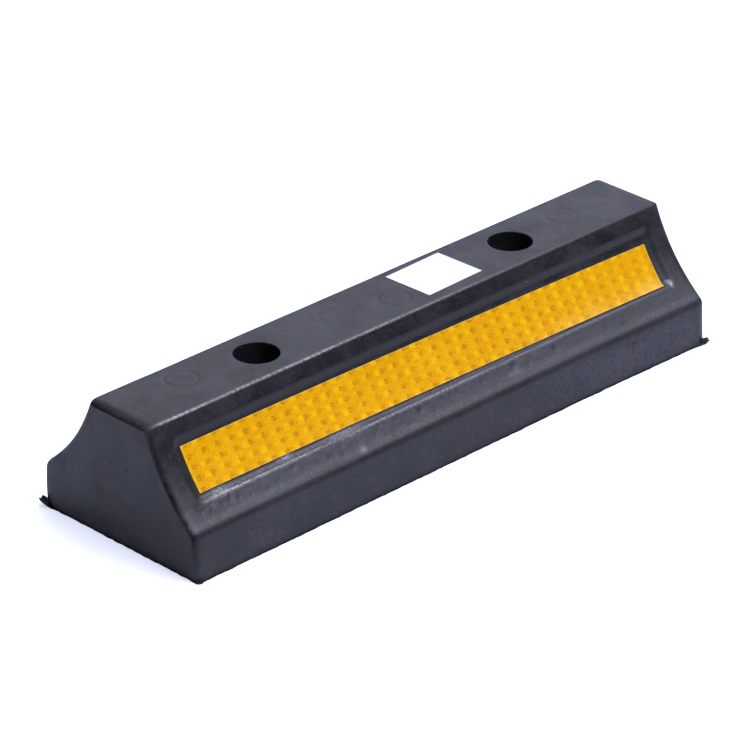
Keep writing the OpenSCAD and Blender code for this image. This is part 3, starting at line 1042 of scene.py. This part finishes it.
def point_camera():
    back = Vector((math.sin(VIEW_AZIMUTH) * math.cos(VIEW_ELEVATION),
                   -math.cos(VIEW_AZIMUTH) * math.cos(VIEW_ELEVATION), math.sin(VIEW_ELEVATION)))
    right = Vector((0, 0, 1)).cross(back).normalized()
    turn = Matrix((right, back.cross(right), back)).transposed()
    camera = bpy.data.objects.new("camera", bpy.data.cameras.new("camera"))
    bpy.context.scene.collection.objects.link(camera)
    camera.data.sensor_width = 36
    camera.data.lens = LENS
    camera.data.clip_end = 50
    camera.matrix_world = Matrix.Translation((VIEW_TARGET + back * VIEW_DISTANCE) * MM) @ turn.to_4x4()
    bpy.context.scene.camera = camera


def lay_floor():
    """A white table, which the camera sees a little over-exposed."""
    bm = bmesh.new()
    bmesh.ops.create_grid(bm, x_segments=1, y_segments=1, size=FLOOR_HALF)
    floor = new_object("floor", bm)
    floor.location.z = -FLOOR_DROP
    g = Graph("white_table")
    seen = g.add("LightPath").outputs["Is Camera Ray"]
    g.finish(Base_Color=TABLE_WHITE, Roughness=0.9, Specular_IOR_Level=0.0,
             Emission_Strength=g.math("MULTIPLY", seen, FLOOR_GLOW), Emission_Color=GLOW_TINT)
    set_material(floor, g.mat)


def lay_card():
    """A black card in front of the near corner, which shows only as a dark band in that corner's sheen."""
    bm = bmesh.new()
    bmesh.ops.create_grid(bm, x_segments=1, y_segments=1, size=CARD_HALF)
    card = new_object("black_card", bm)
    turn = Matrix.Rotation(math.radians(45), 4, "Z")
    card.matrix_world = Matrix.Translation(Vector(CARD_PLACE) * MM) @ turn
    for use in ("visible_camera", "visible_diffuse", "visible_shadow", "visible_transmission"):
        setattr(card, use, False)
    g = Graph("black_card")
    g.finish(Base_Color=(0.01, 0.01, 0.01), Roughness=1.0, Specular_IOR_Level=0.0)
    set_material(card, g.mat)


def light_studio():
    """Softboxes as smooth lobes of light around the object; the camera itself sees plain white behind it."""
    world = bpy.data.worlds.new("studio")
    bpy.context.scene.world = world
    world.use_nodes = True
    tree = world.node_tree
    direction = tree.nodes.new("ShaderNodeTexCoord").outputs["Generated"]
    total = None
    for azimuth, elevation, strength in SOFTBOXES:
        a, e = math.radians(azimuth), math.radians(elevation)
        dot = tree.nodes.new("ShaderNodeVectorMath")
        dot.operation = "DOT_PRODUCT"
        tree.links.new(direction, dot.inputs[0])
        dot.inputs[1].default_value = (math.cos(a) * math.cos(e), math.sin(a) * math.cos(e), math.sin(e))
        value = dot.outputs["Value"]
        steps = (("SUBTRACT", 1.0), ("MULTIPLY", SPREAD), ("EXPONENT", None), ("MULTIPLY", strength))
        for operation, number in steps:
            step = tree.nodes.new("ShaderNodeMath")
            step.operation = operation
            tree.links.new(value, step.inputs[0])
            if number is not None:
                step.inputs[1].default_value = number
            value = step.outputs[0]
        if total is not None:
            add = tree.nodes.new("ShaderNodeMath")
            tree.links.new(total, add.inputs[0])
            tree.links.new(value, add.inputs[1])
            value = add.outputs[0]
        total = value
    light = tree.nodes["Background"]
    light.inputs["Color"].default_value = (*TINT, 1)
    tree.links.new(total, light.inputs["Strength"])
    plain = tree.nodes.new("ShaderNodeBackground")
    plain.inputs["Color"].default_value = (1, 1, 1, 1)
    plain.inputs["Strength"].default_value = BACKDROP
    pick = tree.nodes.new("ShaderNodeMixShader")
    tree.links.new(tree.nodes.new("ShaderNodeLightPath").outputs["Is Camera Ray"], pick.inputs[0])
    tree.links.new(light.outputs[0], pick.inputs[1])
    tree.links.new(plain.outputs[0], pick.inputs[2])
    tree.links.new(pick.outputs[0], tree.nodes["World Output"].inputs["Surface"])


point_camera()
lay_floor()
lay_card()
light_studio()
bpy.context.scene.view_settings.view_transform = "Standard"
